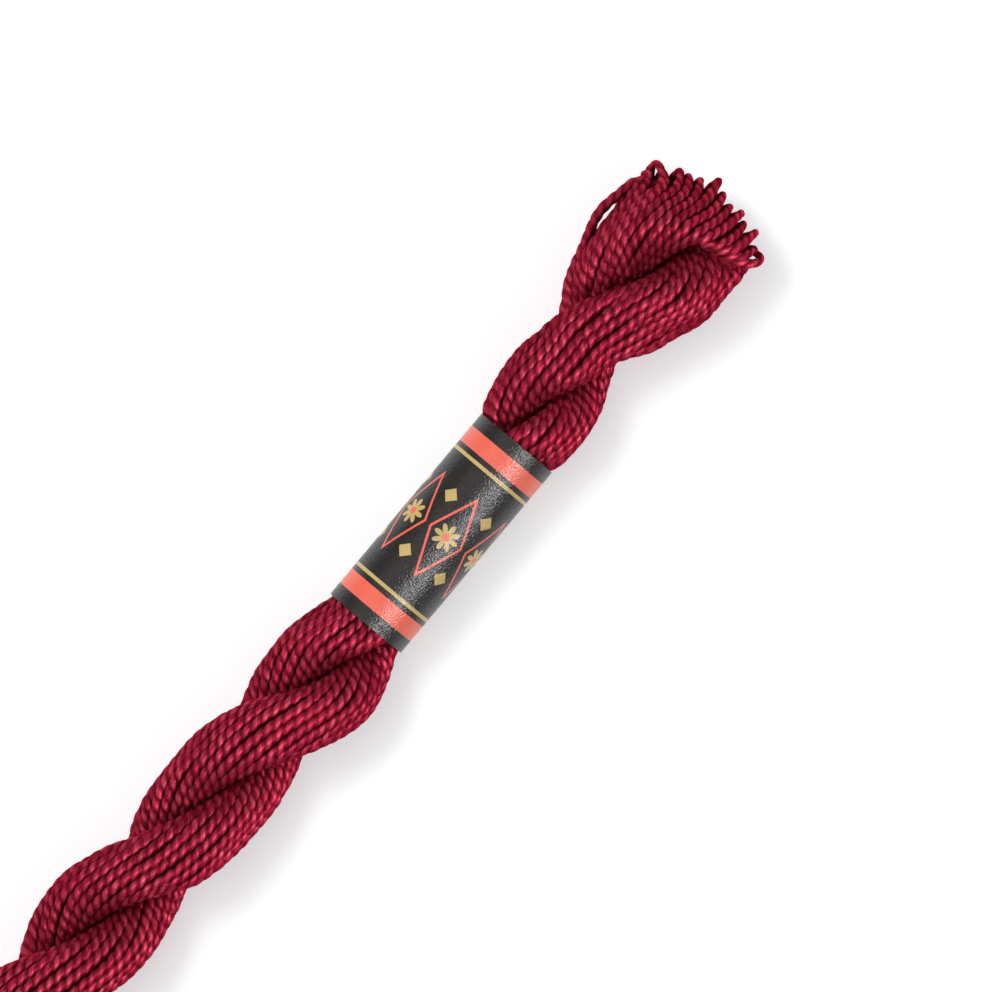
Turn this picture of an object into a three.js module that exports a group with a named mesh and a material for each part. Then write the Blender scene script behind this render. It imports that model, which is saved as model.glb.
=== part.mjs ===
// Skein of pearl cotton. A long loop of thread is twisted so that its two legs wind round each other,
// and a paper band grips the twist. X runs along the skein, Z is up, and z = 0 is the surface it lies on.

import * as THREE from 'three';

// Driving dimensions, in millimetres. The far end of the skein is at minus X.

const skeinLength = 167;
const bightReach = 4.6;
const farBightReach = 4.4;
const bightCrown = 0.8;
const wholeThreadTurns = 16;

const legSides = 18;
const ringStep = 1.45;
const bightSteps = 8;

const bandLength = 18.8;
const bandCentreX = 47.9;
const bandCentreY = -0.9;
const bandCentreZ = 4.3;
const bandWidth = 7.5;
const bandHeight = 7.3;
const paperWall = 0.3;
const bandSegments = 24;

const threadColour = 0x9c1237;
const paperColour = 0x1c1a1a;

// The skein from its far end to its near end. Most rows stand where the legs lie side by side (odd
// quarter turns) or one on the other (even), the rest where the form changes fast, as at the band.
// gap: half the space between the legs; reach: from the axis to the outside of a leg; wide: half a
// leg's width the other way; bend and height: where the axis runs.

const sections = [
  { x: -83.5, quarters: 23.9, gap: 1.0, reach: 4.4, wide: 5.0, bend: -0.7, height: 4.6 },
  { x: -79.0, quarters: 23.6, gap: 0.9, reach: 4.5, wide: 4.6, bend: -0.6, height: 4.6 },
  { x: -74.6, quarters: 23.0, gap: 0.3, reach: 5.3, wide: 4.2, bend: -0.4, height: 4.5 },
  { x: -67.8, quarters: 22.0, gap: 0.1, reach: 4.7, wide: 3.3, bend: -0.1, height: 4.4 },
  { x: -61.0, quarters: 21.0, gap: 0.1, reach: 4.7, wide: 3.2, bend: -0.2, height: 4.4 },
  { x: -54.3, quarters: 20.0, gap: 0.1, reach: 4.7, wide: 3.2, bend: -0.5, height: 4.5 },
  { x: -47.6, quarters: 19.0, gap: 0.1, reach: 4.9, wide: 3.3, bend: -0.8, height: 4.5 },
  { x: -40.8, quarters: 18.0, gap: 0.1, reach: 4.7, wide: 3.2, bend: -1.0, height: 4.4 },
  { x: -34.0, quarters: 17.0, gap: 0.1, reach: 4.6, wide: 3.2, bend: -1.0, height: 4.4 },
  { x: -27.2, quarters: 16.0, gap: 0.1, reach: 4.7, wide: 3.3, bend: -0.7, height: 4.4 },
  { x: -20.4, quarters: 15.0, gap: 0.1, reach: 4.8, wide: 3.2, bend: -0.4, height: 4.5 },
  { x: -13.6, quarters: 14.0, gap: 0.1, reach: 4.7, wide: 3.2, bend: -0.1, height: 4.5 },
  { x: -6.8, quarters: 13.0, gap: 0.1, reach: 4.7, wide: 3.3, bend: 0.1, height: 4.5 },
  { x: 0.0, quarters: 12.0, gap: 0.1, reach: 4.8, wide: 3.2, bend: 0.0, height: 4.5 },
  { x: 6.7, quarters: 11.0, gap: 0.1, reach: 4.95, wide: 3.2, bend: 0.0, height: 4.5 },
  { x: 11.9, quarters: 10.2, gap: 0.1, reach: 4.6, wide: 3.1, bend: -0.3, height: 4.5 },
  { x: 13.8, quarters: 9.9, gap: 0.1, reach: 4.6, wide: 3.2, bend: -0.5, height: 4.5 },
  { x: 20.4, quarters: 9.0, gap: 0.1, reach: 4.55, wide: 3.2, bend: -0.5, height: 4.4 },
  { x: 27.1, quarters: 8.0, gap: 0.1, reach: 4.7, wide: 3.25, bend: -0.6, height: 4.5 },
  { x: 33.2, quarters: 7.05, gap: 0.1, reach: 4.9, wide: 3.3, bend: -1.15, height: 4.5 },
  { x: 37.6, quarters: 6.35, gap: 0.1, reach: 4.0, wide: 3.1, bend: -1.0, height: 4.3 },
  { x: 38.3, quarters: 6.25, gap: 0.08, reach: 2.66, wide: 2.6, bend: -0.9, height: 4.3 },
  { x: 47.9, quarters: 4.87, gap: 0.08, reach: 2.66, wide: 2.6, bend: -0.9, height: 4.3 },
  { x: 57.4, quarters: 3.46, gap: 0.08, reach: 2.66, wide: 2.6, bend: -0.85, height: 4.3 },
  { x: 58.2, quarters: 3.31, gap: 0.1, reach: 4.0, wide: 3.4, bend: -0.8, height: 4.3 },
  { x: 61.3, quarters: 2.9, gap: 0.1, reach: 4.5, wide: 3.3, bend: -0.5, height: 4.4 },
  { x: 65.0, quarters: 2.25, gap: 0.1, reach: 4.4, wide: 3.1, bend: -0.15, height: 4.4 },
  { x: 67.3, quarters: 2.0, gap: 0.1, reach: 4.6, wide: 3.1, bend: 0.15, height: 4.4 },
  { x: 71.0, quarters: 1.47, gap: 0.15, reach: 5.1, wide: 3.9, bend: 0.1, height: 4.5 },
  { x: 75.2, quarters: 0.9, gap: 0.3, reach: 6.4, wide: 4.4, bend: 0.05, height: 4.7 },
  { x: 78.9, quarters: 0.35, gap: 0.8, reach: 5.1, wide: 5.3, bend: -0.25, height: 4.9 },
  { x: 83.5, quarters: -0.1, gap: 1.0, reach: 4.6, wide: 6.3, bend: -0.5, height: 4.8 },
];

const halfLength = skeinLength / 2;
const nearRootX = halfLength - bightReach;
const farRootX = farBightReach - halfLength;

// A smooth reading of one column of the table, which never swings past its rows.

function columnReader(rows, column) {
  const secants = rows.slice(1).map((row, i) => (row[column] - rows[i][column]) / (row.x - rows[i].x));
  const slopes = rows.map((row, i) => {
    const before = secants[Math.max(i - 1, 0)];
    const after = secants[Math.min(i, secants.length - 1)];
    return before * after > 0 ? (2 * before * after) / (before + after) : 0;
  });
  return (x) => {
    const next = Math.max(1, rows.findIndex((row) => row.x >= x));
    const [start, end] = [rows[next - 1], rows[next]];
    const span = end.x - start.x;
    const t = (x - start.x) / span;
    const back = 1 - t;
    const level = start[column] * back * back * (1 + 2 * t) + end[column] * t * t * (3 - 2 * t);
    return level + span * t * back * (slopes[next - 1] * back - slopes[next] * t);
  };
}

const quartersAt = columnReader(sections, 'quarters');
const gapAt = columnReader(sections, 'gap');
const reachAt = columnReader(sections, 'reach');
const wideAt = columnReader(sections, 'wide');
const bendAt = columnReader(sections, 'bend');
const heightAt = columnReader(sections, 'height');

// The twist. Before it, the loop lies flat: across is the way from one leg to the other, sideways the
// way through the eye. A first leg stands on top at every fourth quarter turn.

function twistAngle(x) {
  return (1 - quartersAt(x)) * (Math.PI / 2);
}

function twisted(x, across, sideways) {
  const angle = twistAngle(x);
  const y = bendAt(x) + across * Math.cos(angle) - sideways * Math.sin(angle);
  const z = heightAt(x) + across * Math.sin(angle) + sideways * Math.cos(angle);
  return [x, y, Math.max(z, 0)];
}

// The threads of a leg lie almost straight in the finished skein, so they wind back round the leg's
// middle. The rings follow them, and close after a whole number of turns in one trip round the loop.

const legTwist = twistAngle(nearRootX) - twistAngle(farRootX);

function threadAngle(travelled, side) {
  const windBack = (travelled / (2 * legTwist)) * wholeThreadTurns;
  return 2 * Math.PI * (side / legSides - windBack);
}

function legRing(direction, x) {
  const middle = (gapAt(x) + reachAt(x)) / 2;
  const thick = (reachAt(x) - gapAt(x)) / 2;
  const twistSoFar = twistAngle(x) - twistAngle(farRootX);
  const travelled = direction > 0 ? twistSoFar : 2 * legTwist - twistSoFar;
  return Array.from({ length: legSides }, (unused, side) => {
    const angle = threadAngle(travelled, side);
    return twisted(x, direction * (middle + thick * Math.cos(angle)), wideAt(x) * Math.sin(angle));
  });
}

// The bight at an end: the same section carried round half a turn, from one leg to the other.

function bightRing(end, turned) {
  const rootX = end > 0 ? nearRootX : farRootX;
  const outReach = end > 0 ? bightReach : farBightReach;
  const travelled = end > 0 ? legTwist : 0;
  return Array.from({ length: legSides }, (unused, side) => {
    const angle = threadAngle(travelled, side);
    const share = (1 + Math.cos(angle)) / 2;
    const across = gapAt(rootX) + share * (reachAt(rootX) - gapAt(rootX));
    const ahead = gapAt(rootX) + share * (outReach - gapAt(rootX));
    const crown = bightCrown * Math.sin(angle) ** 2;
    const x = rootX + end * Math.sin(turned) * (ahead - crown);
    return twisted(x, end * across * Math.cos(turned), wideAt(x) * Math.sin(angle));
  });
}

function ringPlaces() {
  const stops = sections.map((row) => row.x).filter((x) => x > farRootX && x < nearRootX);
  const bounds = [farRootX, ...stops, nearRootX];
  return bounds.slice(1).flatMap((end, i) => {
    const start = bounds[i];
    const count = Math.max(1, Math.round((end - start) / ringStep));
    return Array.from({ length: count }, (unused, step) => start + ((end - start) * step) / count);
  });
}

function loopRings() {
  const places = [...ringPlaces(), nearRootX];
  const turns = Array.from({ length: bightSteps - 1 }, (unused, i) => ((i + 1) * Math.PI) / bightSteps);
  return [
    ...places.map((x) => legRing(1, x)),
    ...turns.map((turned) => bightRing(1, turned)),
    ...places.toReversed().map((x) => legRing(-1, x)),
    ...turns.map((turned) => bightRing(-1, turned)),
  ];
}

// Joins rings of points into one closed loop, cutting each four-sided patch along its shorter diagonal.

function closedLoopGeometry(rings) {
  const points = rings.flat().map((point) => new THREE.Vector3(...point));
  const sides = rings[0].length;
  const faces = rings.flatMap((ring, i) => ring.flatMap((unused, side) => {
    const here = i * sides;
    const next = ((i + 1) % rings.length) * sides;
    const beside = (side + 1) % sides;
    const [a, b, c, d] = [here + side, here + beside, next + beside, next + side];
    const shorter = points[a].distanceTo(points[c]) < points[b].distanceTo(points[d]);
    return shorter ? [a, b, c, a, c, d] : [a, b, d, b, c, d];
  }));
  const geometry = new THREE.BufferGeometry().setFromPoints(points);
  geometry.setIndex(faces);
  geometry.computeVertexNormals();
  return geometry;
}

function makeSkein() {
  const cotton = new THREE.MeshStandardMaterial({ color: threadColour, roughness: 0.6, metalness: 0 });
  const skein = new THREE.Mesh(closedLoopGeometry(loopRings()), cotton);
  skein.name = 'skein';
  return skein;
}

// The paper band: a slightly flattened sleeve, clear of the skein that it grips.

function makeBand() {
  const outline = new THREE.Shape();
  outline.absellipse(0, 0, bandHeight / 2, bandWidth / 2, 0, 2 * Math.PI);
  const bore = new THREE.Path();
  bore.absellipse(0, 0, bandHeight / 2 - paperWall, bandWidth / 2 - paperWall, 0, 2 * Math.PI);
  outline.holes.push(bore);
  const sleeve = new THREE.ExtrudeGeometry(outline, {
    depth: bandLength,
    curveSegments: bandSegments,
    bevelEnabled: false,
  });
  sleeve.translate(0, 0, -bandLength / 2);
  sleeve.rotateY(Math.PI / 2);
  const paper = new THREE.MeshStandardMaterial({ color: paperColour, roughness: 0.35, metalness: 0 });
  const band = new THREE.Mesh(sleeve, paper);
  band.name = 'band';
  band.position.set(bandCentreX, bandCentreY, bandCentreZ);
  return band;
}

const group = new THREE.Group();
group.add(makeSkein(), makeBand());

export default group;
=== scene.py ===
# Skein of pearl cotton: a long loop of two-ply thread, twisted into a rope of two legs, in a paper band.
# X runs along the skein, Z is up, and it lies on z = 0. Sizes are in millimetres unless a note says so.
import math
import bpy
import numpy as np
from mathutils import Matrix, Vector


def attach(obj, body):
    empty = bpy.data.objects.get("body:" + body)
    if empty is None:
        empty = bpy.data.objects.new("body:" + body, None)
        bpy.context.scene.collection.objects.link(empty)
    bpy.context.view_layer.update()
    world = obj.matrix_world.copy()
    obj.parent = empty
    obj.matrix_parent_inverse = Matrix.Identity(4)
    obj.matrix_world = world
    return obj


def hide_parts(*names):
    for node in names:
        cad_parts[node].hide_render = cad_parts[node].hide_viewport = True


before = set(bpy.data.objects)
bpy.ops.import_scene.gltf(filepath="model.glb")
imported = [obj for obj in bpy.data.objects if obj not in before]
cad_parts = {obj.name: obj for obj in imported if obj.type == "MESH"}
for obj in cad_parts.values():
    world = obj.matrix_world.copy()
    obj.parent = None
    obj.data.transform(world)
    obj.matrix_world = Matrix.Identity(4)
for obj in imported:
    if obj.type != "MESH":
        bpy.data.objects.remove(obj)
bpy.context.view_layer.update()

metre = 0.001  # one millimetre, in metres
fullTurn = 2 * math.pi

# The skein from its far end to its near end. Most rows stand where the legs lie side by side (odd
# quarter turns) or one on the other (even). gap: half the space between the legs; reach: from the axis
# to the outside of a leg; wide: half a leg's width the other way; bend and height: where the axis runs;
# flat: how far a section is pressed down.
formColumns = ("x", "quarters", "gap", "reach", "wide", "bend", "height", "flat")
formRows = (
    (-83.5, 23.9, 1.0, 4.4, 5.0, -0.7, 4.3, 0.85),
    (-79.0, 23.6, 0.9, 4.5, 4.6, -0.6, 4.5, 0.9),
    (-74.6, 23.0, 0.3, 5.3, 4.2, -0.4, 4.5, 1.0),
    (-67.8, 22.0, -0.15, 4.7, 3.3, -0.1, 4.4, 1.0),
    (-61.0, 21.0, -0.15, 4.7, 3.2, -0.2, 4.4, 1.0),
    (-54.3, 20.0, -0.15, 4.7, 3.2, -0.5, 4.5, 1.0),
    (-47.6, 19.0, -0.15, 4.9, 3.3, -0.8, 4.5, 1.0),
    (-40.8, 18.0, -0.15, 4.7, 3.2, -1.0, 4.4, 1.0),
    (-34.0, 17.0, -0.15, 4.6, 3.2, -1.0, 4.4, 1.0),
    (-27.2, 16.0, -0.15, 4.7, 3.3, -0.7, 4.4, 1.0),
    (-20.4, 15.0, -0.15, 4.8, 3.2, -0.4, 4.5, 1.0),
    (-13.6, 14.0, -0.15, 4.7, 3.2, -0.1, 4.5, 1.0),
    (-6.8, 13.0, -0.15, 4.7, 3.3, 0.1, 4.5, 1.0),
    (0.0, 12.0, -0.15, 4.8, 3.2, 0.0, 4.5, 1.0),
    (6.7, 11.0, -0.15, 4.95, 3.2, 0.0, 4.5, 1.0),
    (11.9, 10.2, -0.15, 4.6, 3.1, -0.3, 4.5, 1.0),
    (13.8, 9.9, -0.15, 4.6, 3.2, -0.5, 4.5, 1.0),
    (20.4, 9.0, -0.15, 4.55, 3.2, -0.5, 4.4, 1.0),
    (27.1, 8.0, -0.15, 4.7, 3.25, -0.6, 4.5, 1.0),
    (33.2, 7.05, -0.15, 4.9, 3.3, -1.15, 4.5, 1.0),
    (36.6, 6.5, -0.15, 4.2, 3.2, -1.0, 4.3, 1.0),
    (38.3, 6.25, -0.15, 3.35, 3.05, -0.9, 4.3, 1.0),
    (40.5, 5.93, -0.15, 2.95, 2.85, -0.9, 4.3, 1.0),
    (55.0, 3.82, -0.15, 2.95, 2.85, -0.9, 4.3, 1.0),
    (57.1, 3.5, -0.15, 3.2, 2.95, -0.85, 4.3, 1.0),
    (58.2, 3.34, -0.15, 4.0, 3.35, -0.8, 4.3, 1.0),
    (61.3, 2.9, -0.15, 4.5, 3.3, -0.5, 4.4, 1.0),
    (65.0, 2.25, -0.15, 4.4, 3.1, -0.15, 4.4, 1.0),
    (67.3, 2.0, -0.15, 4.6, 3.1, 0.15, 4.4, 1.0),
    (71.0, 1.47, -0.2, 5.1, 3.9, 0.0, 4.5, 1.0),
    (75.2, 1.0, -0.1, 5.85, 4.3, -0.5, 4.6, 1.0),
    (76.8, 0.83, 0.0, 5.8, 4.6, -0.5, 4.6, 0.95),
    (78.9, 0.6, 0.2, 5.5, 5.2, -0.35, 4.6, 0.82),
    (80.6, 0.4, 0.5, 4.9, 5.5, -0.45, 4.5, 0.78),
    (82.0, 0.2, 0.75, 4.7, 5.8, -0.5, 4.45, 0.78),
    (83.5, 0.05, 0.9, 4.6, 6.2, -0.5, 4.4, 0.78),
)

skeinForm = {
    "halfLength": 83.5,
    "nearReach": 4.6,      # how far the near bight reaches past the legs
    "farReach": 4.4,
    "crown": 0.8,          # how far the sides of a bight fall back behind its middle
    "threadTurns": 17,     # turns a thread makes round a leg's middle in one trip round the loop
    "skin": 0.44,          # depth of an outer thread's middle under the leg's surface
    "legFlatness": 0.8,    # how flat a leg's inner side is where it is pressed on the other, 1 is round
    "flatUpTo": -0.2,      # the gap up to which the inner sides stay so flat
    "roundFrom": 0.7,      # the gap from which they are round
    "groundSoftness": 0.35,  # how gently what touches the surface goes flat
}
nearRoot = skeinForm["halfLength"] - skeinForm["nearReach"]
farRoot = skeinForm["farReach"] - skeinForm["halfLength"]


def smoothColumn(name):
    # a smooth reading of one column, which never swings past its rows
    places = np.array([row[0] for row in formRows])
    values = np.array([row[formColumns.index(name)] for row in formRows])
    secants = np.diff(values) / np.diff(places)
    before = np.concatenate((secants[:1], secants))
    after = np.concatenate((secants, secants[-1:]))
    same = before * after > 0
    slopes = np.where(same, 2 * before * after / np.where(same, before + after, 1), 0)

    def read(x):
        row = np.clip(np.searchsorted(places, x) - 1, 0, len(places) - 2)
        span = places[row + 1] - places[row]
        t = (x - places[row]) / span
        back = 1 - t
        level = values[row] * back * back * (1 + 2 * t) + values[row + 1] * t * t * (3 - 2 * t)
        return level + span * t * back * (slopes[row] * back - slopes[row + 1] * t)

    return read


quartersAt = smoothColumn("quarters")
gapAt = smoothColumn("gap")
reachAt = smoothColumn("reach")
wideAt = smoothColumn("wide")
bendAt = smoothColumn("bend")
heightAt = smoothColumn("height")
flatAt = smoothColumn("flat")


def twistAngle(x):
    return (1 - quartersAt(x)) * math.pi / 2


def twisted(x, placeX, across, sideways):
    # from the flat loop to the twisted skein: across is the way from one leg to the other
    angle = twistAngle(x)
    y = bendAt(x) + across * np.cos(angle) - sideways * np.sin(angle)
    z = heightAt(x) + (across * np.sin(angle) + sideways * np.cos(angle)) * flatAt(x)
    return np.stack([placeX, y, z], axis=-1)


farTwist = float(twistAngle(-skeinForm["halfLength"]))
legTwist = float(twistAngle(skeinForm["halfLength"])) - farTwist


def smoothStep(value):
    t = np.clip(value, 0, 1)
    return t * t * (3 - 2 * t)


def clearOfGround(points, radius):
    # what would sink into the surface is pressed flat on it instead
    over = points[:, 2] - radius
    soft = skeinForm["groundSoftness"]
    points[:, 2] = radius + (over + np.sqrt(over * over + soft * soft)) / 2
    return points


# The run of one thread: from inside the band along one leg, round the bight and back on the other.
run = {
    "cutX": 48.0,          # under the middle of the band
    "step": 0.5,
    "bightSteps": 28,
    "angles": 72,          # places tried round a leg to space its threads evenly
    "driftLength": 17.0,   # the longest wave in a thread's drift round the leg
    "sinkLength": 13.0,    # and in its way in and out
    "sinkSeed": 500,
    "holdLength": 4.0,
    "leastSize": 0.05,     # of the path round a leg, however deep a thread lies
    "tiltRise": 1.6,
}

# An aimless drift is the sum of waves with these lengths, as shares of the longest, and weights.
waves = {"lengths": (1.0, 0.61, 0.37), "weights": (0.5, 0.32, 0.18)}


def outward(angle, flatness):
    # a leg's half section: round outside, and flatter where it faces the other leg
    across = np.cos(angle)
    return np.where(across > 0, across, -np.abs(across) ** flatness)


def evenAngles(x):
    # for each station, the angle that stands for each even share of the way round the leg
    angles = np.linspace(0, fullTurn, run["angles"] + 1)
    flatness = innerFlatness(x)
    thick = (reachAt(x) - gapAt(x)) / 2 - skeinForm["skin"]
    wide = wideAt(x) - skeinForm["skin"]
    over = thick[:, None] * outward(angles[None, :], flatness[:, None])
    along = wide[:, None] * np.sin(angles)[None, :]
    lengths = np.hypot(np.diff(over, axis=1), np.diff(along, axis=1))
    sums = np.concatenate((np.zeros((len(x), 1)), np.cumsum(lengths, axis=1)), axis=1)
    shares = np.linspace(0, 1, run["angles"] + 1)
    return np.stack([np.interp(shares, row / row[-1], angles) for row in sums])


def innerFlatness(x):
    way = skeinForm["roundFrom"] - skeinForm["flatUpTo"]
    apart = np.clip((gapAt(x) - skeinForm["flatUpTo"]) / way, 0, 1)
    return skeinForm["legFlatness"] + (1 - skeinForm["legFlatness"]) * apart


def loopStations(end, startX, fan):
    # x for reading the form, the side of the axis, the turn round the bight, and the thread's turns so far
    root = nearRoot if end > 0 else farRoot
    outReach = skeinForm["nearReach"] if end > 0 else skeinForm["farReach"]
    count = int(abs(root - startX) / run["step"]) + 1
    legX = np.linspace(startX, root, count)
    turned = np.linspace(0, math.pi, run["bightSteps"] + 2)[1:-1]
    bightX = root + end * outReach * np.sin(turned)
    x = np.concatenate((legX, bightX, legX[::-1]))
    allTurned = np.concatenate((np.zeros(count), turned, np.full(count, math.pi)))
    outbound = allTurned < math.pi / 2
    twistSoFar = twistAngle(x) - farTwist
    ahead = twistSoFar if end > 0 else 2 * legTwist - twistSoFar
    behind = 2 * legTwist - twistSoFar if end > 0 else 2 * legTwist + twistSoFar
    tip = skeinForm["halfLength"]
    roll = fan["roll"] * smoothStep((np.abs(x) - fan["rollX"]) / (tip - fan["rollX"]))
    turns = skeinForm["threadTurns"] * np.where(outbound, ahead, behind) / (2 * legTwist)
    turns = turns + np.where(outbound, roll, 2 * fan["roll"] - roll)
    return {
        "x": x,
        "baseX": np.concatenate((legX, np.full(len(turned), root), legX[::-1])),
        "turned": allTurned,
        "turns": turns,
        "leg": np.where(outbound, end, -end),
        "outReach": outReach,
        "angles": evenAngles(x),
    }


def wander(seed, travel, longest):
    # an even, aimless drift between about -1 and 1
    chance = np.random.default_rng(seed)
    lengths = longest * np.array(waves["lengths"])
    starts = chance.uniform(0, fullTurn, len(lengths))
    parts = zip(waves["weights"], lengths, starts)
    return sum(weight * np.sin(fullTurn * travel / length + start) for weight, length, start in parts)


def angleOfShare(stations, share):
    # reads the even spacing: share counts whole turns round the leg
    whole = np.floor(share)
    place = (share - whole) * run["angles"]
    low = np.minimum(place.astype(int), run["angles"] - 1)
    rows = np.arange(len(share))
    table = stations["angles"]
    return table[rows, low] + (table[rows, low + 1] - table[rows, low]) * (place - low)


def threadRun(thread, end, fan, stations):
    x = stations["x"]
    travel = np.arange(len(x)) * run["step"]
    opened = smoothStep((np.abs(x) - fan["openX"]) / (fan["fullX"] - fan["openX"]))
    share = thread["neck"] + (thread["fan"] - thread["neck"]) * opened
    share = share + fan["phase"] - stations["turns"]
    share = share + thread["drift"] * wander(thread["seed"], travel, run["driftLength"])
    share = share + thread["hold"] * smoothStep((np.abs(x) - fan["holdX"]) / run["holdLength"])
    pull = np.sin(stations["turned"])
    atTip = share[len(share) // 2]
    share = atTip + (share - atTip) * (1 - thread["close"] * pull)
    angle = angleOfShare(stations, share)
    depth = thread["neckDepth"] + (thread["fanDepth"] - thread["neckDepth"]) * opened
    sinking = wander(thread["seed"] + run["sinkSeed"], travel, run["sinkLength"])
    depth = depth + thread["sink"] * (1 + sinking) / 2
    for stray in thread["strays"]:
        near = np.exp(-((x - stray["x"]) / stray["spread"]) ** 2) * np.isin(stations["leg"], stray["legs"])
        depth = depth - stray["out"] * near
    gap, reach = gapAt(x), reachAt(x)
    out = outward(angle, innerFlatness(x))
    over = np.sin(angle)
    across = (gap + reach) / 2 + np.maximum((reach - gap) / 2 - depth, run["leastSize"]) * out
    outReach = stations["outReach"]
    ahead = (gap + outReach) / 2 + np.maximum((outReach - gap) / 2 - depth, run["leastSize"]) * out
    reachOut = thread["finger"] * pull ** 2
    placeX = stations["baseX"] + end * pull * (ahead - skeinForm["crown"] * over ** 2 + reachOut)
    sideways = np.maximum(wideAt(x) - depth, run["leastSize"]) * over
    sideways = sideways + fan["splay"] * pull ** 3 * over
    sideways = sideways + thread["tilt"] * np.cos(stations["turned"]) * smoothStep(pull * run["tiltRise"])
    pinched = across * (1 - thread["pinch"] * pull ** 2)
    points = twisted(x, placeX, end * pinched * np.cos(stations["turned"]), sideways)
    middle = (gap + reach) / 2
    centreX = stations["baseX"] + end * pull * (gap + outReach) / 2
    centres = twisted(x, centreX, end * middle * np.cos(stations["turned"]), 0 * x)
    return clearOfGround(points, ply["radius"]), centres


def tipShare(thread, fan, stations):
    # where a thread stands round the leg at the very tip, from -0.5 to 0.5
    share = thread["fan"] + fan["phase"] - stations["turns"][len(stations["x"]) // 2]
    return (share + 0.5) % 1 - 0.5


def fanThreads(fan):
    # the threads that lie on the outside all along, those that rise to it in the fan, and those inside
    chance = np.random.default_rng(fan["seed"])
    outer, total = fan["outer"], fan["full"]
    threads = []
    placed = 0
    for index in range(total):
        rises = (index + 1) * (total - outer) // total > index * (total - outer) // total
        neckSlot = placed - 0.5 if rises else placed
        placed += 0 if rises else 1
        threads.append({
            "neck": neckSlot / outer,
            "fan": index / total,
            "neckDepth": fan["buried"] if rises else skeinForm["skin"],
            "fanDepth": skeinForm["skin"],
            "startX": fan["riseX"] if rises else run["cutX"],
            "finger": fan["longFinger"] if index % 2 else fan["shortFinger"],
        })
    for index in range(fan["inner"]):
        threads.append({
            "neck": (index + 0.5) / fan["inner"],
            "fan": (index + 0.5) / fan["inner"],
            "neckDepth": fan["buried"],
            "fanDepth": fan["innerDepth"],
            "startX": fan["riseX"],
            "finger": fan["shortFinger"],
        })
    for index, thread in enumerate(threads):
        thread["seed"] = fan["seed"] * ply["seeds"] + index
        thread["drift"] = fan["drift"] / outer
        thread["sink"] = fan["sink"]
        thread["finger"] += chance.uniform(-1, 1) * fan["fingerChance"]
        thread["tilt"] = chance.uniform(-1, 1) * fan["tiltChance"]
        thread["tone"] = chance.uniform(-1, 1)
        thread["start"] = chance.uniform(0, fullTurn)
        thread["pinch"] = fan["pinch"]
        thread["close"] = fan["close"]
        thread["hold"] = 0.0
        thread["strays"] = []
    return threads


nearFan = {
    "seed": 3,
    "outer": 17,
    "full": 25,
    "inner": 12,
    "openX": 65.5,       # where the leg starts to open
    "fullX": 73.5,
    "riseX": 61.0,
    "rollX": 74.0,       # where the threads start to roll over into the bight
    "roll": 0.04,
    "holdX": 79.0,       # from here on the stray thread lies a little further round the leg
    "innerDepth": 1.35,
    "buried": 1.7,
    "drift": 0.15,
    "sink": 0.15,
    "longFinger": 0.35,  # every other finger reaches this much further at the bight, the rest less
    "shortFinger": -0.35,
    "fingerChance": 0.32,
    "tiltChance": 0.14,
    "splay": 0.1,
    "pinch": 0.6,        # how far the two sides of a finger close up towards its tip, in height
    "close": 0.5,        # and sideways
    "phase": 0.0,        # set below, so that a thread lies on the edge where the stray one bulges
}
farFan = {
    "seed": 8,
    "outer": 17,
    "full": 22,
    "inner": 9,
    "openX": 67.0,
    "fullX": 75.0,
    "riseX": -62.0,
    "rollX": 74.0,
    "roll": 0.03,
    "holdX": 76.0,
    "innerDepth": 1.3,
    "buried": 1.7,
    "drift": 0.15,
    "sink": 0.13,
    "longFinger": -0.15,
    "shortFinger": -0.75,
    "fingerChance": 0.15,
    "tiltChance": 0.1,
    "splay": 0.0,
    "pinch": 0.4,
    "close": 0.5,
    "phase": 0.3,
}

# The near fan's own marks: one thread bulges off the edge, one finger is the longest, two stand open.
strayThread = {"x": 76.0, "spread": 2.9, "out": 1.2, "hold": 0.12, "legs": (1,)}
longestFinger = {"tipShare": -0.02, "reach": 0.9}
topLoop = {"tipShare": -0.23, "close": 0.0}
openLoop = {
    "tipShare": 0.235,
    "tilt": 0.68,
    "finger": 0.25,
    "pinch": 0.0,
    "close": 0.0,
    "x": 81.6,           # where its sides bulge, how far along, how far out, and which of them
    "spread": 2.0,
    "out": 0.45,
    "legs": (1, -1),
}

ply = {
    "pitch": 2.05,        # length of one full twist of the two plies
    "radius": 0.45,       # of the whole thread
    "groove": 0.26,       # depth of the groove between the plies, as a share of the radius
    "grooveSharpness": 1.5,
    "uneven": 0.06,       # how much the thickness changes along a thread
    "unevenLength": 9.0,
    "endSize": 0.5,       # its cut ends, which don't show, are drawn in by half
    "seeds": 1000,        # spaces out the seeds of the threads
    "tipTaper": 0.28,     # how much slimmer a thread is at the very tip of its bight
    "tipLength": 1.3,
    "fanLength": 5.0,     # how far behind the tips the threads stand apart, with less painted shade on their sides
    "fanLessShade": 0.55,
    "stepsPerTwist": 9,
    "sides": 12,
}


def evenlySpaced(points, centres, spacing):
    lengths = np.concatenate(([0], np.cumsum(np.linalg.norm(np.diff(points, axis=0), axis=1))))
    count = int(lengths[-1] / spacing) + 1
    marks = np.linspace(0, lengths[-1], count)
    even = np.stack([np.interp(marks, lengths, points[:, k]) for k in range(3)], axis=-1)
    evenCentres = np.stack([np.interp(marks, lengths, centres[:, k]) for k in range(3)], axis=-1)
    kernel = np.array([1, 2, 3, 2, 1]) / 9
    half = len(kernel) // 2
    padded = np.pad(even, ((half, half), (0, 0)), mode="edge")
    smoothed = np.stack([np.convolve(padded[:, k], kernel, "valid") for k in range(3)], axis=-1)
    even[half:-half] = smoothed[half:-half]
    return even, evenCentres, marks


def unit(vectors):
    return vectors / np.linalg.norm(vectors, axis=-1, keepdims=True)


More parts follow.
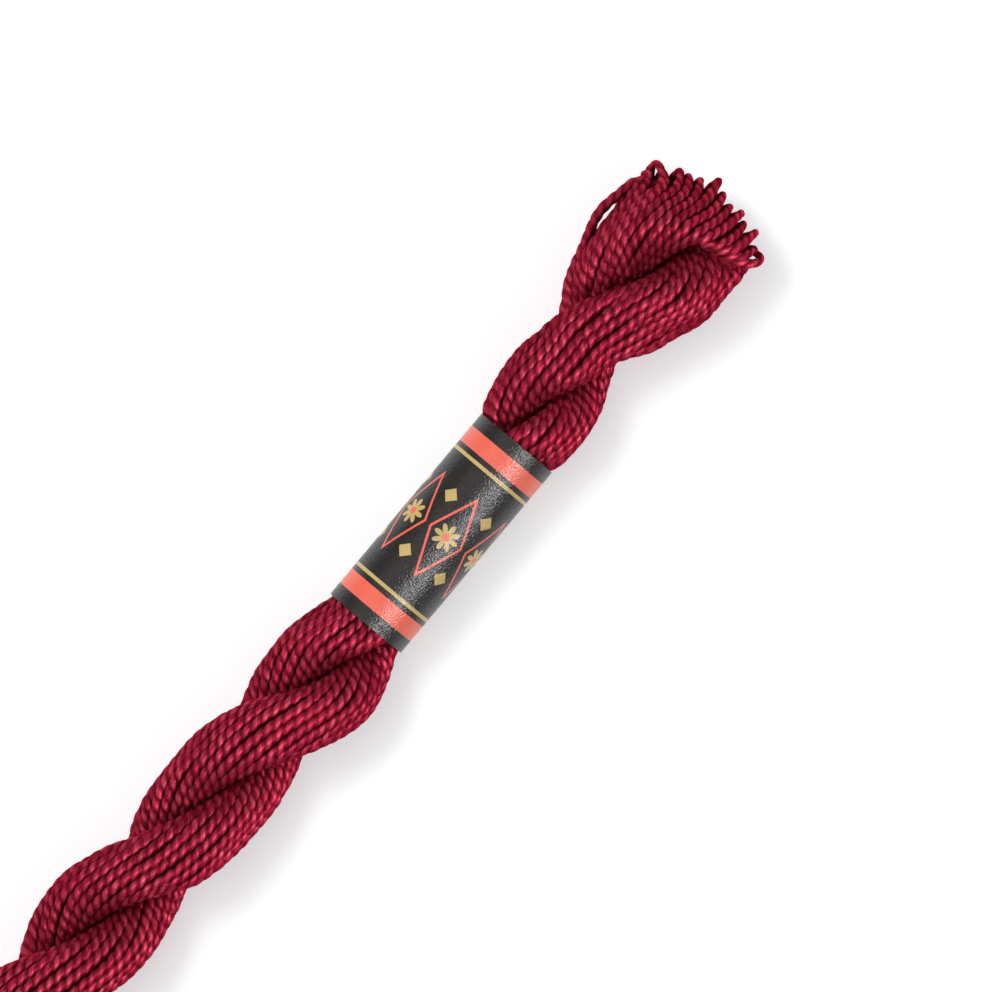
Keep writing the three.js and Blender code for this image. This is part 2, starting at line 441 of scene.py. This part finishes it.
def threadRings(points, centres, marks, start):
    # a round thread with two grooves that wind left-handed along it; turns counts from a ply's crest,
    # and facing is 1 on the side away from the leg, less on the sides that lie against other threads, where
    # the cotton paints shade
    along = unit(np.gradient(points, axis=0))
    out = points - centres
    out = unit(out - np.sum(out * along, axis=1, keepdims=True) * along)
    side = np.cross(along, out)
    lap = np.arange(ply["sides"] + 1) / ply["sides"]
    turns = lap[None, :] + marks[:, None] / ply["pitch"] - start
    hollow = (1 - np.abs(np.cos(fullTurn * turns))) ** ply["grooveSharpness"]
    plump = 1 + ply["uneven"] * wander(int(ply["seeds"] * start) + 1, marks, ply["unevenLength"])
    radius = ply["radius"] * plump[:, None] * (1 - ply["groove"] * hollow)
    behind = np.abs(points[:, 0]).max() - np.abs(points[:, 0])
    radius *= 1 - ply["tipTaper"] * smoothStep(1 - behind / ply["tipLength"])[:, None]
    radius[[0, -1]] *= ply["endSize"]
    angle = fullTurn * lap[:-1]
    spokes = np.cos(angle)[None, :, None] * out[:, None, :] + np.sin(angle)[None, :, None] * side[:, None, :]
    spread = smoothStep(1 - behind / ply["fanLength"])
    facing = np.cos(angle)[None, :] + ply["fanLessShade"] * spread[:, None]
    return points[:, None, :] + radius[:, :-1, None] * spokes, turns, facing


class TubeMesh:
    # gathers tubes of equal sides into one mesh, with a UV map, a tone for each thread and how far each
    # point faces out
    def __init__(self):
        self.points, self.quads, self.ends = [], [], []
        self.uvs, self.tones, self.facings = [], [], []
        self.count = 0

    def add(self, rings, turns, marks, tone, facing):
        rows, sides = rings.shape[:2]
        index = self.count + np.arange(rows * sides).reshape(rows, sides)
        beside = np.roll(index, -1, axis=1)
        quads = np.stack([index[:-1], beside[:-1], beside[1:], index[1:]], axis=-1).reshape(-1, 4)
        place = np.stack([np.broadcast_to(marks[:, None], turns.shape), turns], axis=-1)
        corners = (place[:-1, :-1], place[:-1, 1:], place[1:, 1:], place[1:, :-1])
        self.points.append(rings.reshape(-1, 3))
        self.quads.append(quads)
        self.ends += [index[0][::-1], index[-1]]
        self.uvs.append(np.stack(corners, axis=2).reshape(-1, 2))
        self.tones.append(np.full(rows * sides, tone))
        self.facings.append(facing.ravel())
        self.count += rows * sides

    def build(self, name, material):
        points = np.concatenate(self.points) * metre
        quads = np.concatenate(self.quads)
        sides = len(self.ends[0])
        caps = np.concatenate(self.ends)
        mesh = bpy.data.meshes.new(name)
        mesh.vertices.add(len(points))
        mesh.vertices.foreach_set("co", points.ravel())
        loops = np.concatenate((quads.ravel(), caps))
        capStarts = 4 * len(quads) + sides * np.arange(len(self.ends))
        starts = np.concatenate((4 * np.arange(len(quads)), capStarts))
        mesh.loops.add(len(loops))
        mesh.loops.foreach_set("vertex_index", loops)
        mesh.polygons.add(len(starts))
        mesh.polygons.foreach_set("loop_start", starts)
        mesh.polygons.foreach_set("use_smooth", np.ones(len(starts), dtype=bool))
        mesh.update(calc_edges=True)
        layer = mesh.uv_layers.new(name="alongPly")
        capUvs = np.zeros((len(caps), 2))
        layer.data.foreach_set("uv", np.concatenate(self.uvs + [capUvs]).ravel())
        for key, values in (("tone", self.tones), ("facing", self.facings)):
            attribute = mesh.attributes.new(key, "FLOAT", "POINT")
            attribute.data.foreach_set("value", np.concatenate(values))
        mesh.materials.append(material)
        piece = bpy.data.objects.new(name, mesh)
        bpy.context.scene.collection.objects.link(piece)
        return piece


def newMaterial(name):
    material = bpy.data.materials.new(name)
    material.use_nodes = True
    return material, material.node_tree, material.node_tree.nodes["Principled BSDF"]


def feed(tree, socket, value):
    # takes the output of another node, or a plain value
    if hasattr(value, "is_output"):
        tree.links.new(value, socket)
    else:
        socket.default_value = value


def addNode(tree, kind, values=(), **settings):
    node = tree.nodes.new(kind)
    for key, value in settings.items():
        setattr(node, key, value)
    for socket, value in dict(values).items():
        feed(tree, node.inputs[socket], value)
    return node


def calc(tree, operation, *values):
    # one step of arithmetic between numbers or sockets
    return addNode(tree, "ShaderNodeMath", dict(enumerate(values)), operation=operation).outputs[0]


def mixColours(tree, share, first, second):
    # the node has its two colours at inputs 6 and 7 and the mixed one at output 2
    colours = {"Factor": share, 6: first, 7: second}
    return addNode(tree, "ShaderNodeMix", colours, data_type="RGBA").outputs[2]


cottonLook = {
    "deep": (0.07, 0.0007, 0.0045, 1),
    "bright": (0.63, 0.038, 0.089, 1),
    "deepUpTo": 0.32,        # of the fibre noise
    "brightFrom": 0.7,
    "fibreScale": 4.5,
    "fibreStretch": 0.22,
    "fibreDetail": 5.0,
    "fibreRoughness": 0.68,
    "toneShare": 0.05,       # how far one thread differs from the next
    # painted highlight: a paler colour mixed onto the ply crests
    "paintedHighlightColour": (0.95, 0.14, 0.21, 1),
    "paintedHighlightShare": 0.55,
    "crestSharpness": 5.0,
    "patchScale": 0.55,      # the painted highlight on the crests comes in patches
    "patchToneScale": 9.0,
    "patchSideScale": 0.8,
    "patchDetail": 2.0,
    "patchFrom": 0.38,
    "patchTo": 0.66,
    # painted shade: the grooves between the plies, and a thread's sides, are darkened towards this colour
    "paintedShadeColour": (0.05, 0.0006, 0.004, 1),
    "grooveShadeShare": 0.58,
    "grooveSharpness": 2.0,
    "flankShadeFrom": 0.6,        # a thread's sides, where it lies against the next, are darkened as painted shade
    "flankShadeTo": -0.15,
    "flankShadeShare": 0.65,
    "roughness": 0.37,
    "metallic": 0.6,
    "specular": 0.0,
    "tint": (0.5, 0.06, 0.10, 1),
    "fibreRelief": 0.8,
    "bump": 0.9,
    "bumpDistance": 0.00006,  # in metres
}


def makeCotton():
    material, tree, shader = newMaterial("pearlCotton")
    link = tree.links.new
    uv = addNode(tree, "ShaderNodeUVMap", uv_map="alongPly")
    split = addNode(tree, "ShaderNodeSeparateXYZ", {0: uv.outputs[0]})
    along, turns = split.outputs[0], split.outputs[1]
    lap = calc(tree, "MULTIPLY", turns, fullTurn)
    streak = addNode(tree, "ShaderNodeCombineXYZ", {
        0: calc(tree, "COSINE", lap),
        1: calc(tree, "SINE", lap),
        2: calc(tree, "MULTIPLY", along, cottonLook["fibreStretch"]),
    })
    fibres = addNode(tree, "ShaderNodeTexNoise", {
        "Vector": streak.outputs[0],
        "Scale": cottonLook["fibreScale"],
        "Detail": cottonLook["fibreDetail"],
        "Roughness": cottonLook["fibreRoughness"],
    })
    tone = addNode(tree, "ShaderNodeAttribute", attribute_name="tone")
    facing = addNode(tree, "ShaderNodeAttribute", attribute_name="facing")
    level = calc(tree, "MULTIPLY_ADD", tone.outputs["Fac"], cottonLook["toneShare"], fibres.outputs["Fac"])
    ramp = addNode(tree, "ShaderNodeValToRGB", {"Fac": level})
    ramp.color_ramp.elements[0].position = cottonLook["deepUpTo"]
    ramp.color_ramp.elements[0].color = cottonLook["deep"]
    ramp.color_ramp.elements[1].position = cottonLook["brightFrom"]
    ramp.color_ramp.elements[1].color = cottonLook["bright"]
    crest = calc(tree, "COSINE", calc(tree, "MULTIPLY", lap, 2.0))
    hollow = calc(tree, "POWER", calc(tree, "MULTIPLY_ADD", crest, -0.5, 0.5), cottonLook["grooveSharpness"])
    ridge = calc(tree, "POWER", calc(tree, "SUBTRACT", 1.0, hollow), cottonLook["crestSharpness"])
    patchPlace = addNode(tree, "ShaderNodeCombineXYZ", {
        0: calc(tree, "MULTIPLY", along, cottonLook["patchScale"]),
        1: calc(tree, "MULTIPLY", tone.outputs["Fac"], cottonLook["patchToneScale"]),
        2: calc(tree, "MULTIPLY", facing.outputs["Fac"], cottonLook["patchSideScale"]),
    })
    patches = addNode(tree, "ShaderNodeTexNoise", {
        "Vector": patchPlace.outputs[0], "Scale": 1.0, "Detail": cottonLook["patchDetail"]})
    patchy = addNode(tree, "ShaderNodeMapRange", {
        "Value": patches.outputs["Fac"],
        "From Min": cottonLook["patchFrom"],
        "From Max": cottonLook["patchTo"],
    }, interpolation_type="SMOOTHSTEP")
    streaky = calc(tree, "MULTIPLY", ridge, fibres.outputs["Fac"])
    paintedShine = calc(tree, "MULTIPLY", streaky, patchy.outputs["Result"])
    light = calc(tree, "MULTIPLY", paintedShine, cottonLook["paintedHighlightShare"])
    # painted highlight on the ply crests
    colour = mixColours(tree, light, ramp.outputs["Color"], cottonLook["paintedHighlightColour"])
    # painted shade in the grooves between the plies
    shade = calc(tree, "MULTIPLY", hollow, cottonLook["grooveShadeShare"])
    colour = mixColours(tree, shade, colour, cottonLook["paintedShadeColour"])
    # painted shade on a thread's sides, where it lies against the next
    flankShade = addNode(tree, "ShaderNodeMapRange", {
        "Value": facing.outputs["Fac"],
        "From Min": cottonLook["flankShadeFrom"],
        "From Max": cottonLook["flankShadeTo"],
        "To Min": 0.0,
        "To Max": cottonLook["flankShadeShare"],
    }, interpolation_type="SMOOTHSTEP")
    colour = mixColours(tree, flankShade.outputs["Result"], colour, cottonLook["paintedShadeColour"])
    link(colour, shader.inputs["Base Color"])
    fibreRelief = calc(tree, "MULTIPLY", fibres.outputs["Fac"], cottonLook["fibreRelief"])
    relief = calc(tree, "SUBTRACT", fibreRelief, hollow)
    bump = addNode(tree, "ShaderNodeBump", {
        "Strength": cottonLook["bump"], "Distance": cottonLook["bumpDistance"], "Height": relief})
    link(bump.outputs["Normal"], shader.inputs["Normal"])
    shader.inputs["Roughness"].default_value = cottonLook["roughness"]
    shader.inputs["Specular IOR Level"].default_value = cottonLook["specular"]
    shader.inputs["Metallic"].default_value = cottonLook["metallic"]
    shader.inputs["Specular Tint"].default_value = cottonLook["tint"]
    return material


cotton = makeCotton()


def makeThreads(name, end, fan, share, stations):
    mesh = TubeMesh()
    spacing = ply["pitch"] / ply["stepsPerTwist"]
    for thread in share:
        points, centres = threadRun(thread, end, fan, stations[thread["startX"]])
        points, centres, marks = evenlySpaced(points, centres, spacing)
        rings, turns, facing = threadRings(points, centres, marks, thread["start"] / fullTurn)
        mesh.add(rings, turns, marks, thread["tone"], facing)
    piece = mesh.build(name, cotton)
    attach(piece, "root")
    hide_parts("skein")
    print("made", name, "of", len(piece.data.polygons), "faces")


def bothStations(end, fan):
    return {startX: loopStations(end, startX, fan) for startX in (run["cutX"], fan["riseX"])}


def nearestTo(threads, fan, stations, share):
    # of the outer threads, the one that stands nearest this place at the tip
    outer = threads[:fan["full"]]
    return min(outer, key=lambda thread: abs(tipShare(thread, fan, stations) - share))


nearStations = bothStations(1, nearFan)
longRun = nearStations[run["cutX"]]
awayFromStray = np.where(longRun["leg"] > 0, np.abs(longRun["x"] - strayThread["x"]), np.inf)
atStray = int(np.argmin(awayFromStray))
nearFan["phase"] = float(longRun["turns"][atStray])
nearThreads = fanThreads(nearFan)
nearThreads[0]["strays"] = [strayThread]
nearThreads[0]["hold"] = strayThread["hold"]
nearestTo(nearThreads, nearFan, longRun, longestFinger["tipShare"])["finger"] = longestFinger["reach"]
loopThread = nearestTo(nearThreads, nearFan, longRun, openLoop["tipShare"])
for key in ("tilt", "finger", "pinch", "close"):
    loopThread[key] = openLoop[key]
loopThread["strays"] = [openLoop]
nearestTo(nearThreads, nearFan, longRun, topLoop["tipShare"])["close"] = topLoop["close"]
farStations = bothStations(-1, farFan)
farThreads = fanThreads(farFan)
nearPieces, farPieces = 2, 4  # so that none is too large
for part in range(nearPieces):
    makeThreads(f"threadsNear{part + 1}", 1, nearFan, nearThreads[part::nearPieces], nearStations)
for part in range(farPieces):
    makeThreads(f"threadsFar{part + 1}", -1, farFan, farThreads[part::farPieces], farStations)


# The inside of each leg, which shows only as the dark between the threads: the inner cotton, coloured near
# black as painted shade.
core = {
    "depth": 0.66,        # under the leg's surface
    "sides": 20,
    "step": 1.0,
    "nearX": 75.0,
    "farX": -76.0,
    "taper": 5.0,
    "leastEnd": 0.001,    # keeps the ends from closing to a point
    # painted shade: far darker than the cotton it stands for
    "deep": (0.04, 0.0006, 0.004, 1),
    "bright": (0.16, 0.003, 0.016, 1),
    "noiseScale": 900.0,
    "noiseDetail": 2.0,
    "roughness": 0.8,
    "specular": 0.0,
}


def makeCore():
    material, tree, shader = newMaterial("insideOfLeg")
    place = addNode(tree, "ShaderNodeTexCoord")
    noise = addNode(tree, "ShaderNodeTexNoise", {
        "Vector": place.outputs["Object"], "Scale": core["noiseScale"], "Detail": core["noiseDetail"]})
    ramp = addNode(tree, "ShaderNodeValToRGB", {"Fac": noise.outputs["Fac"]})
    ramp.color_ramp.elements[0].color = core["deep"]
    ramp.color_ramp.elements[1].color = core["bright"]
    tree.links.new(ramp.outputs["Color"], shader.inputs["Base Color"])
    shader.inputs["Roughness"].default_value = core["roughness"]
    shader.inputs["Specular IOR Level"].default_value = core["specular"]
    mesh = TubeMesh()
    x = np.arange(core["farX"], core["nearX"], core["step"])
    ends = np.minimum(x - core["farX"], core["nearX"] - core["step"] - x) / core["taper"]
    keep = np.sqrt(np.clip(ends, core["leastEnd"], 1))
    lap = np.arange(core["sides"] + 1) / core["sides"]
    turns = np.broadcast_to(lap, (len(x), len(lap)))
    for leg in (1, -1):
        middle = (gapAt(x) + reachAt(x)) / 2
        thick = ((reachAt(x) - gapAt(x)) / 2 - core["depth"]) * keep
        wide = (wideAt(x) - core["depth"]) * keep
        rings = []
        for turn in fullTurn * lap[:-1]:
            across = middle + thick * outward(np.full(len(x), turn), innerFlatness(x))
            ring = twisted(x, x, leg * across, leg * wide * math.sin(turn))
            rings.append(clearOfGround(ring, core["depth"]))
        mesh.add(np.stack(rings, axis=1), turns, x, 0.0, np.ones((len(x), core["sides"])))
    piece = mesh.build("insideOfLegs", material)
    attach(piece, "root")
    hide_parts("skein")
    print("made the inside of the legs")


makeCore()


# The paper band. Its print is a coral stripe near each end and a row of lozenges round the middle.
band = {
    "centre": (47.9, -0.9, 4.3),
    "length": 18.8,
    "width": 7.5,
    "height": 7.3,
    "paper": 0.13,
    "overlap": 3.2,
    "seam": 0.62,         # where the paper starts, in half turns below the side
    "lapRise": 1.0,       # how far before the overlap the outer layer starts to rise
    "lapLength": 1.2,
    "columns": 24,
    "rows": 96,
    "smoothAngle": 40,
}
bandPrint = {
    "ground": (0.0065, 0.004, 0.0028, 1),
    "coral": (0.77, 0.118, 0.070, 1),
    "gold": (0.52, 0.37, 0.13, 1),
    "stripeFrom": 6.7,      # from the middle of the band
    "stripeTo": 8.2,
    "lineFrom": 5.95,
    "lineTo": 6.25,
    "lozenges": 6,          # round the band
    "lozengeHalf": 4.6,     # along the band
    "frame": 0.11,          # width of a lozenge's line, as a share of its size
    "petals": 8,
    "rosette": 1.15,
    "petalShare": 0.62,     # of the rosette's radius that the gaps between its petals cut in
    "eyeShare": 0.28,
    "bead": 0.68,
    "beadAt": 0.62,         # as a share of the lozenge's half length
    "grainScale": 6500.0,
    "grainDetail": 2.0,
    "grainDepth": 0.00006,  # in metres
    "roughness": 0.28,
    "specular": 0.5,
}


def between(tree, value, low, high):
    above = calc(tree, "GREATER_THAN", value, low)
    below = calc(tree, "LESS_THAN", value, high)
    return calc(tree, "MULTIPLY", above, below)


def makeBandPaper(girth, full):
    material, tree, shader = newMaterial("bandPaper")
    uv = addNode(tree, "ShaderNodeUVMap", uv_map="UVMap")
    split = addNode(tree, "ShaderNodeSeparateXYZ", {0: uv.outputs[0]})
    along = calc(tree, "MULTIPLY", calc(tree, "SUBTRACT", split.outputs[0], 0.5), band["length"])
    fromMiddle = calc(tree, "ABSOLUTE", along)
    pitch = girth / bandPrint["lozenges"]
    wayRound = calc(tree, "MULTIPLY", split.outputs[1], full / pitch)
    aside = calc(tree, "SUBTRACT", calc(tree, "FRACT", wayRound), 0.5)
    asideSize = calc(tree, "ABSOLUTE", aside)
    stripe = between(tree, fromMiddle, bandPrint["stripeFrom"], bandPrint["stripeTo"])
    line = between(tree, fromMiddle, bandPrint["lineFrom"], bandPrint["lineTo"])
    sizeAlong = calc(tree, "DIVIDE", fromMiddle, bandPrint["lozengeHalf"])
    size = calc(tree, "ADD", sizeAlong, calc(tree, "MULTIPLY", asideSize, 2.0))
    lozenge = between(tree, size, 1 - 2 * bandPrint["frame"], 1 - bandPrint["frame"])
    asideLength = calc(tree, "MULTIPLY", aside, pitch)
    squares = [calc(tree, "MULTIPLY", way, way) for way in (along, asideLength)]
    radius = calc(tree, "SQRT", calc(tree, "ADD", *squares))
    bearing = calc(tree, "ARCTAN2", asideLength, along)
    petalTurn = calc(tree, "MULTIPLY", bearing, bandPrint["petals"] / 2)
    petal = calc(tree, "ABSOLUTE", calc(tree, "COSINE", petalTurn))
    petalLength = bandPrint["petalShare"] * bandPrint["rosette"]
    edge = calc(tree, "MULTIPLY_ADD", petal, petalLength, bandPrint["rosette"] - petalLength)
    rosette = calc(tree, "LESS_THAN", radius, edge)
    eye = calc(tree, "LESS_THAN", radius, bandPrint["eyeShare"] * bandPrint["rosette"])
    cornerAside = calc(tree, "MULTIPLY", calc(tree, "SUBTRACT", 0.5, asideSize), pitch)
    cornerAlong = calc(tree, "SUBTRACT", fromMiddle, bandPrint["beadAt"] * bandPrint["lozengeHalf"])
    beadSize = calc(tree, "ADD", calc(tree, "ABSOLUTE", cornerAlong), cornerAside)
    bead = calc(tree, "LESS_THAN", beadSize, bandPrint["bead"])
    gold = calc(tree, "MAXIMUM", calc(tree, "MAXIMUM", line, rosette), bead)
    coral = calc(tree, "MAXIMUM", calc(tree, "MAXIMUM", stripe, lozenge), eye)
    colour = mixColours(tree, gold, bandPrint["ground"], bandPrint["gold"])
    colour = mixColours(tree, coral, colour, bandPrint["coral"])
    tree.links.new(colour, shader.inputs["Base Color"])
    place = addNode(tree, "ShaderNodeTexCoord")
    grain = addNode(tree, "ShaderNodeTexNoise", {
        "Vector": place.outputs["Object"],
        "Scale": bandPrint["grainScale"],
        "Detail": bandPrint["grainDetail"],
    })
    bump = addNode(tree, "ShaderNodeBump", {
        "Strength": 1.0, "Distance": bandPrint["grainDepth"], "Height": grain.outputs["Fac"]})
    tree.links.new(bump.outputs["Normal"], shader.inputs["Normal"])
    shader.inputs["Roughness"].default_value = bandPrint["roughness"]
    shader.inputs["Specular IOR Level"].default_value = bandPrint["specular"]
    return material


def makeBand():
    girth = math.pi * (band["width"] + band["height"]) / 2
    full = girth + band["overlap"]
    bpy.ops.object.select_all(action="DESELECT")
    columns, rows = band["columns"], band["rows"]
    bpy.ops.mesh.primitive_grid_add(x_subdivisions=columns, y_subdivisions=rows, size=1)
    piece = bpy.context.object
    piece.name = piece.data.name = "paperBand"
    for vertex in piece.data.vertices:
        u, v = vertex.co.x, vertex.co.y + 0.5
        travelled = v * full
        angle = fullTurn * travelled / girth - math.pi * band["seam"]
        rise = smoothStep((travelled - girth + band["lapRise"]) / band["lapLength"])
        lift = band["paper"] * (float(rise) - 1)
        y = (band["width"] / 2 + lift) * math.cos(angle)
        z = (band["height"] / 2 + lift) * math.sin(angle)
        cx, cy, cz = band["centre"]
        vertex.co = ((cx + u * band["length"]) * metre, (cy + y) * metre, (cz + z) * metre)
    piece.data.materials.append(makeBandPaper(girth, full))
    bpy.ops.object.mode_set(mode="EDIT")
    bpy.ops.mesh.select_all(action="SELECT")
    bpy.ops.mesh.normals_make_consistent(inside=False)
    bpy.ops.object.mode_set(mode="OBJECT")
    solid = piece.modifiers.new("paper", "SOLIDIFY")
    solid.thickness = band["paper"] * metre
    solid.offset = 0
    bpy.ops.object.modifier_apply(modifier="paper")
    bpy.ops.object.shade_smooth_by_angle(angle=math.radians(band["smoothAngle"]))
    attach(piece, "root")
    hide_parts("band")
    print("made the paper band")


makeBand()


# The view and the light. These sizes are in metres.
view = {
    "aim": (0.0530, -0.00235, 0.0045),
    "distance": 0.9,
    "across": 0.07936,      # width of the photo's frame at the skein
    "turn": -50.0,
    "sensor": 36.0,         # in millimetres, as Blender counts it
    "clipStart": 0.01,
}


def makeCamera():
    data = bpy.data.cameras.new("camera")
    data.sensor_width = view["sensor"]
    data.lens = view["sensor"] * view["distance"] / view["across"]
    data.clip_start = view["clipStart"]
    camera = bpy.data.objects.new("camera", data)
    x, y, z = view["aim"]
    camera.location = (x, y, z + view["distance"])
    camera.rotation_euler = (0, 0, math.radians(view["turn"]))
    bpy.context.scene.collection.objects.link(camera)
    bpy.context.scene.camera = camera


makeCamera()


def areaLight(name, towards, distance, size, power):
    data = bpy.data.lights.new(name, "AREA")
    data.shape = "DISK"
    data.size = size
    data.energy = power
    lamp = bpy.data.objects.new(name, data)
    direction = unit(np.array(towards, dtype=float))
    aim = np.array(view["aim"])
    lamp.location = aim + direction * distance
    lamp.rotation_euler = Vector(direction).to_track_quat("Z", "Y").to_euler()
    bpy.context.scene.collection.objects.link(lamp)
    return lamp


# Up and left in the picture is +Y, down and right is -Y. The overhead light isn't reflected and the sheen
# light is only reflected, so that the paper stays dark above its middle and bright below it.
overhead = areaLight("overhead", towards=(-0.1, 0.76, 1.0), distance=0.65, size=0.36, power=2.2)
overhead.visible_glossy = False
areaLight("softOverhead", towards=(-0.1, 0.5, 1.0), distance=0.6, size=0.6, power=1.0)
areaLight("front", towards=(0.15, -0.75, 1.0), distance=0.7, size=0.14, power=1.6)
sheen = areaLight("sheen", towards=(0.15, -0.66, 1.0), distance=0.7, size=0.3, power=3.8)
sheen.visible_diffuse = False

white = (1, 1, 1, 1)
room = {
    "light": 0.3,
    "floor": (0.90, 0.93, 0.945, 1),
    "floorRoughness": 0.9,
    "floorGlow": 0.24,
    "floorSize": 3.0,       # in metres
}
world = bpy.data.worlds.new("studio")
world.use_nodes = True
world.node_tree.nodes["Background"].inputs["Color"].default_value = white
world.node_tree.nodes["Background"].inputs["Strength"].default_value = room["light"]
bpy.context.scene.world = world

floorMaterial, _, floorShader = newMaterial("paleFloor")
floorShader.inputs["Base Color"].default_value = room["floor"]
floorShader.inputs["Roughness"].default_value = room["floorRoughness"]
floorShader.inputs["Emission Color"].default_value = white
floorShader.inputs["Emission Strength"].default_value = room["floorGlow"]
bpy.ops.object.select_all(action="DESELECT")
bpy.ops.mesh.primitive_plane_add(size=room["floorSize"], location=(0, 0, 0))
floor = bpy.context.object
floor.name = "floor"
floor.data.materials.append(floorMaterial)
bpy.context.scene.view_settings.view_transform = "Standard"
print("made the view, the lights and the floor")
